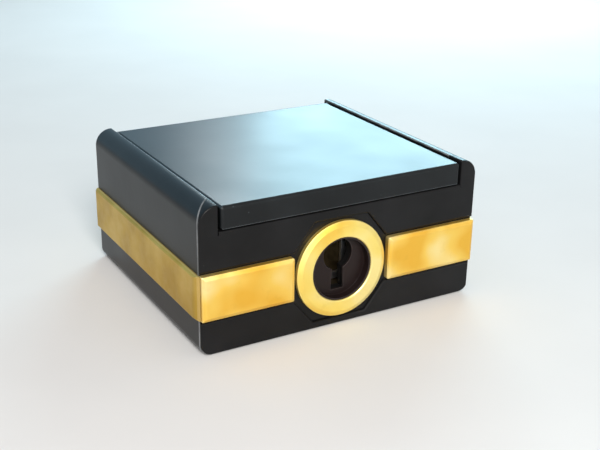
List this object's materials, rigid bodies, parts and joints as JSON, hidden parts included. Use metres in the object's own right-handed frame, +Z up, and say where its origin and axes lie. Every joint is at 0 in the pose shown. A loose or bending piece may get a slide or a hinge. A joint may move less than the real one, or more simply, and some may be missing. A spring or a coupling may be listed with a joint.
{
  "type": "magic drawer box",
  "caption": "Black lacquered magic drawer box: a hinged lid over a shallow well, a full-face drawer with gold bands and a ringed keyhole, and a secret tray that a push catch keeps back.",
  "frame": {"origin": "on the surface the box stands on, under the middle of the whole box", "axes": "+X to the right seen from the front, the drawer opens to -Y, +Z up"},
  "size_m": [0.0926, 0.0806, 0.043],
  "materials": {
    "black_lacquer": "semi-gloss black lacquer",
    "stained_wood": "dark stain, matt",
    "gold_plate": "satin, gold lacquered",
    "black_enamel": "black enamel",
    "lock_brass": "aged brass",
    "steel": "bright steel"
  },
  "bodies": {
    "case": {"side_left": "black_lacquer", "side_right": "black_lacquer", "floor_panel": "black_lacquer", "back_panel": "black_lacquer", "well_floor": "stained_wood", "front_rail": "stained_wood", "runner_left": "stained_wood", "runner_right": "stained_wood", "band_left": "gold_plate", "band_right": "gold_plate", "band_back": "gold_plate", "catch_bush": "lock_brass", "catch_spring": "steel"},
    "lid": {"lid": "black_lacquer", "lid_pin_left": "steel", "lid_pin_right": "steel"},
    "drawer": {"drawer_front": "black_lacquer", "front_horn_left": "black_lacquer", "front_horn_right": "black_lacquer", "tray_front": "stained_wood", "tray_left": "stained_wood", "tray_right": "stained_wood", "tray_back": "stained_wood", "tray_floor": "stained_wood", "band_front_left": "gold_plate", "band_front_right": "gold_plate", "lock_ring": "gold_plate", "keyhole_plate": "black_enamel", "lock_case": "lock_brass", "bolt_spring": "steel", "lock_screws": "steel", "tray_screws": "steel"},
    "secret_tray": {"secret_tray": "stained_wood", "secret_floor": "stained_wood"},
    "lock_bolt": {"lock_bolt": "steel"},
    "catch": {"catch_button": "lock_brass", "catch_clip": "steel"}
  },
  "joints": [
    {"name": "lid_hinge", "type": "hinge", "parent": "case", "child": "lid", "pos_m": [0, 0.0356, 0.0392], "axis": [-1, 0, 0], "range_deg": [0, 110]},
    {"name": "drawer_slide", "type": "slide", "parent": "case", "child": "drawer", "axis": [0, -1, 0], "range_m": [0, 0.031]},
    {"name": "secret_slide", "type": "slide", "parent": "drawer", "child": "secret_tray", "axis": [0, 1, 0], "range_m": [0, 0.031]},
    {"name": "bolt_slide", "type": "slide", "parent": "drawer", "child": "lock_bolt", "axis": [0, 0, 1], "range_m": [0, 0.0024]},
    {"name": "catch_press", "type": "slide", "parent": "case", "child": "catch", "axis": [0, 0, 1], "range_m": [0, 0.0015], "stiffness_N_per_m": 300, "springref_m": -0.002, "deforming": ["catch_spring"]}
  ]
}
